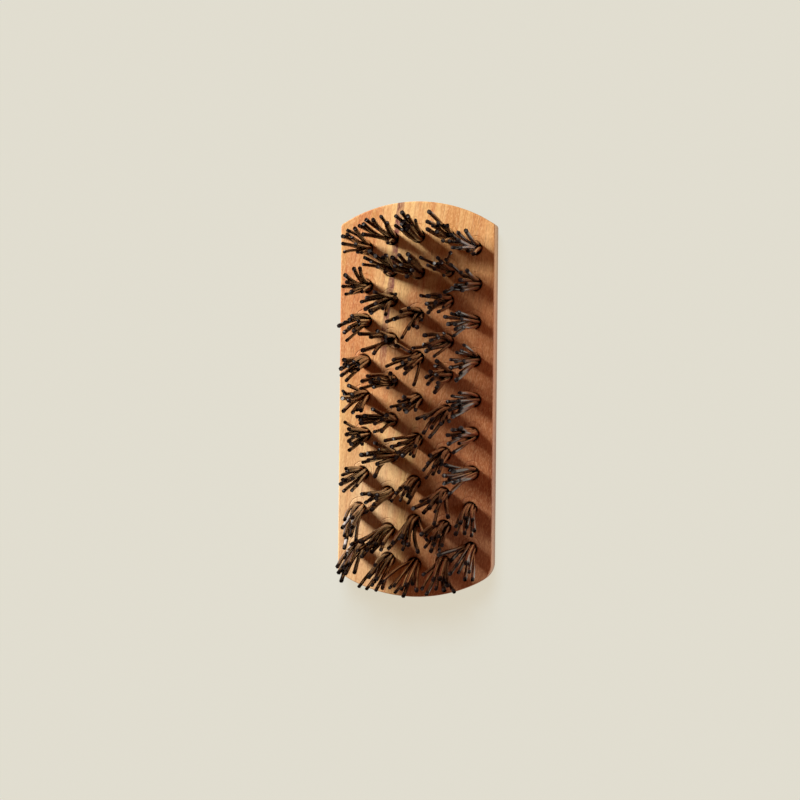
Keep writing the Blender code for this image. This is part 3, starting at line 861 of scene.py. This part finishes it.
stage = {
    "floorHeight": -0.0002,
    "floorSize": 6.0,
    "floorColours": (tint(110, 108, 102), tint(90, 88, 82)),
    "floorGlow": (0.664, 0.626, 0.511, 1),
    "fill": (1.0, 0.34, 0.13, 1),       # the even light from all round
    "fillPower": 0.21,
    "background": tint(223, 221, 208),
}
keyLight = {
    "towards": (-0.839, 0.545),
    "height": 34,
    "distance": 1.20,
    "size": 0.42,
    "power": 28.5,
    "colour": (1.0, 0.95, 0.86),
}
rimLight = {
    "towards": (1.0, 0.12),
    "height": 4,
    "distance": 0.60,
    "size": 0.20,
    "power": 1.7,
    "colour": (0.97, 0.94, 1.0),
}
floorShade = {
    "height": 62,
    "angle": 22,
    "power": 3.1,
    "colour": (0.42, 0.68, 1.0),
}


def makeFloor():
    deselectAll()
    bpy.ops.mesh.primitive_plane_add(size=stage["floorSize"], location=(0, 0, stage["floorHeight"]))
    floor = bpy.context.object
    floor.name = "paleFloor"
    finish = Finish("palePaper", Roughness=0.95, Specular_IOR_Level=0.0,
                    Emission_Color=stage["floorGlow"], Emission_Strength=1.0)
    tooth = finish.noise(finish.place(), 60.0, 3.0)
    floor.data.materials.append(finish.end(Base_Color=finish.mix(tooth * 0.05, *stage["floorColours"])))
    floor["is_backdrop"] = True
    return floor


def makeLight(name, kind, settings, pieces):
    # the light reaches these pieces and nothing else
    data = bpy.data.lights.new(name, kind)
    data.energy = settings["power"]
    data.color = settings["colour"]
    light = bpy.data.objects.new(name, data)
    bpy.context.scene.collection.objects.link(light)
    reached = bpy.data.collections.new(name + "Reach")
    for piece in pieces:
        reached.objects.link(piece)
    light.light_linking.receiver_collection = reached
    return light


def areaLight(name, settings, pieces):
    light = makeLight(name, "AREA", settings, pieces)
    light.data.shape = "DISK"
    light.data.size = settings["size"]
    height = math.radians(settings["height"])
    flat = Vector(settings["towards"]).normalized() * math.cos(height)
    place = Vector((*flat, math.sin(height))) * settings["distance"] + Vector((0, 0, faceHeight))
    light.location = place
    light.rotation_euler = (-place).to_track_quat("-Z", "Y").to_euler()


def sunLight(name, settings, pieces):
    light = makeLight(name, "SUN", settings, pieces)
    light.data.angle = math.radians(settings["angle"])
    light.rotation_euler = (math.radians(settings["height"] - 90), 0, 0)


def makeWorld():
    # the background that the camera sees is not the light that falls on the brush
    world = bpy.data.worlds.new("studio")
    world.use_nodes = True
    nodes, links = world.node_tree.nodes, world.node_tree.links
    around = nodes["Background"]
    around.inputs["Color"].default_value = stage["fill"]
    around.inputs["Strength"].default_value = stage["fillPower"]
    beyond = nodes.new("ShaderNodeBackground")
    beyond.inputs["Color"].default_value = stage["background"]
    eye = nodes.new("ShaderNodeLightPath")
    choice = nodes.new("ShaderNodeMixShader")
    links.new(eye.outputs["Is Camera Ray"], choice.inputs[0])
    links.new(around.outputs[0], choice.inputs[1])
    links.new(beyond.outputs[0], choice.inputs[2])
    links.new(choice.outputs[0], nodes["World Output"].inputs["Surface"])
    bpy.context.scene.world = world


floor = makeFloor()
brush = [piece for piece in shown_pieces() if piece != floor]
areaLight("keyLight", keyLight, brush)
areaLight("rimLight", rimLight, brush)
sunLight("floorShade", floorShade, [floor])
makeWorld()
bpy.context.scene.view_settings.view_transform = "Standard"

view = {
    "place": (0.102, 0.0, 0.65595),
    "aim": (-0.0050, -0.00034, 0.014),
    "roll": 0.583,
    "lens": 94.1,
    "sensor": 36,
    "clip": (0.01, 20),
}


def makeCamera():
    data = bpy.data.cameras.new("camera")
    data.lens = view["lens"]
    data.sensor_width = view["sensor"]
    data.clip_start, data.clip_end = view["clip"]
    camera = bpy.data.objects.new("camera", data)
    bpy.context.scene.collection.objects.link(camera)
    ahead = (Vector(view["aim"]) - Vector(view["place"])).normalized()
    level = ahead.cross(Vector((0, 1, 0))).normalized()
    upright = level.cross(ahead)
    roll = math.radians(view["roll"])
    right = level * math.cos(roll) + upright * math.sin(roll)
    up = upright * math.cos(roll) - level * math.sin(roll)
    turned = Matrix((right, up, -ahead)).transposed().to_4x4()
    camera.matrix_world = Matrix.Translation(view["place"]) @ turned
    bpy.context.scene.camera = camera


makeCamera()
print("stage, light and camera are set")
